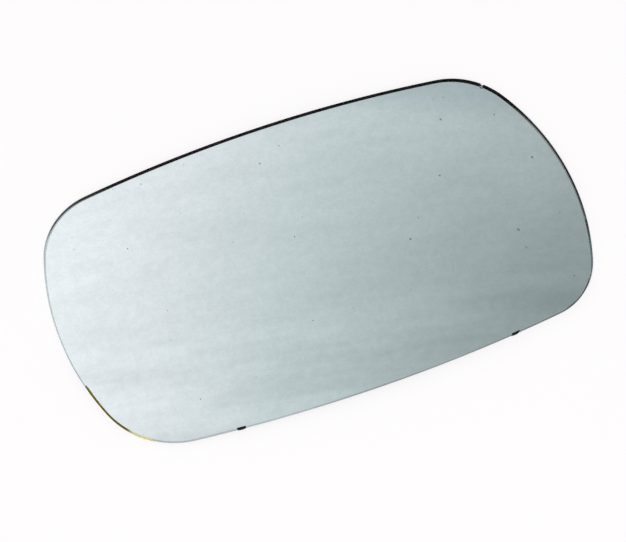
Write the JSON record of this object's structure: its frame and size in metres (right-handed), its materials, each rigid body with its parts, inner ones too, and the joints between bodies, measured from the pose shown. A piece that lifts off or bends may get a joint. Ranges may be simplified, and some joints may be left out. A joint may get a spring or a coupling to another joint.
{
  "type": "car door mirror glass",
  "caption": "Convex glass for a car door mirror: a bent oblong pane with bowed sides and rounded corners, silvered on its back, with a ground edge that is rounded at the face.",
  "frame": {"origin": "on the surface the pane lies on, under the middle of its outline", "axes": "+X along the length of the pane, +Y up its height, +Z out of the mirror face"},
  "size_m": [0.17, 0.0946, 0.005],
  "materials": {
    "mirror": "clear glass silvered and painted on its back, with a pale ground edge"
  },
  "bodies": {
    "root": {"mirror_glass": "mirror"}
  },
  "joints": []
}
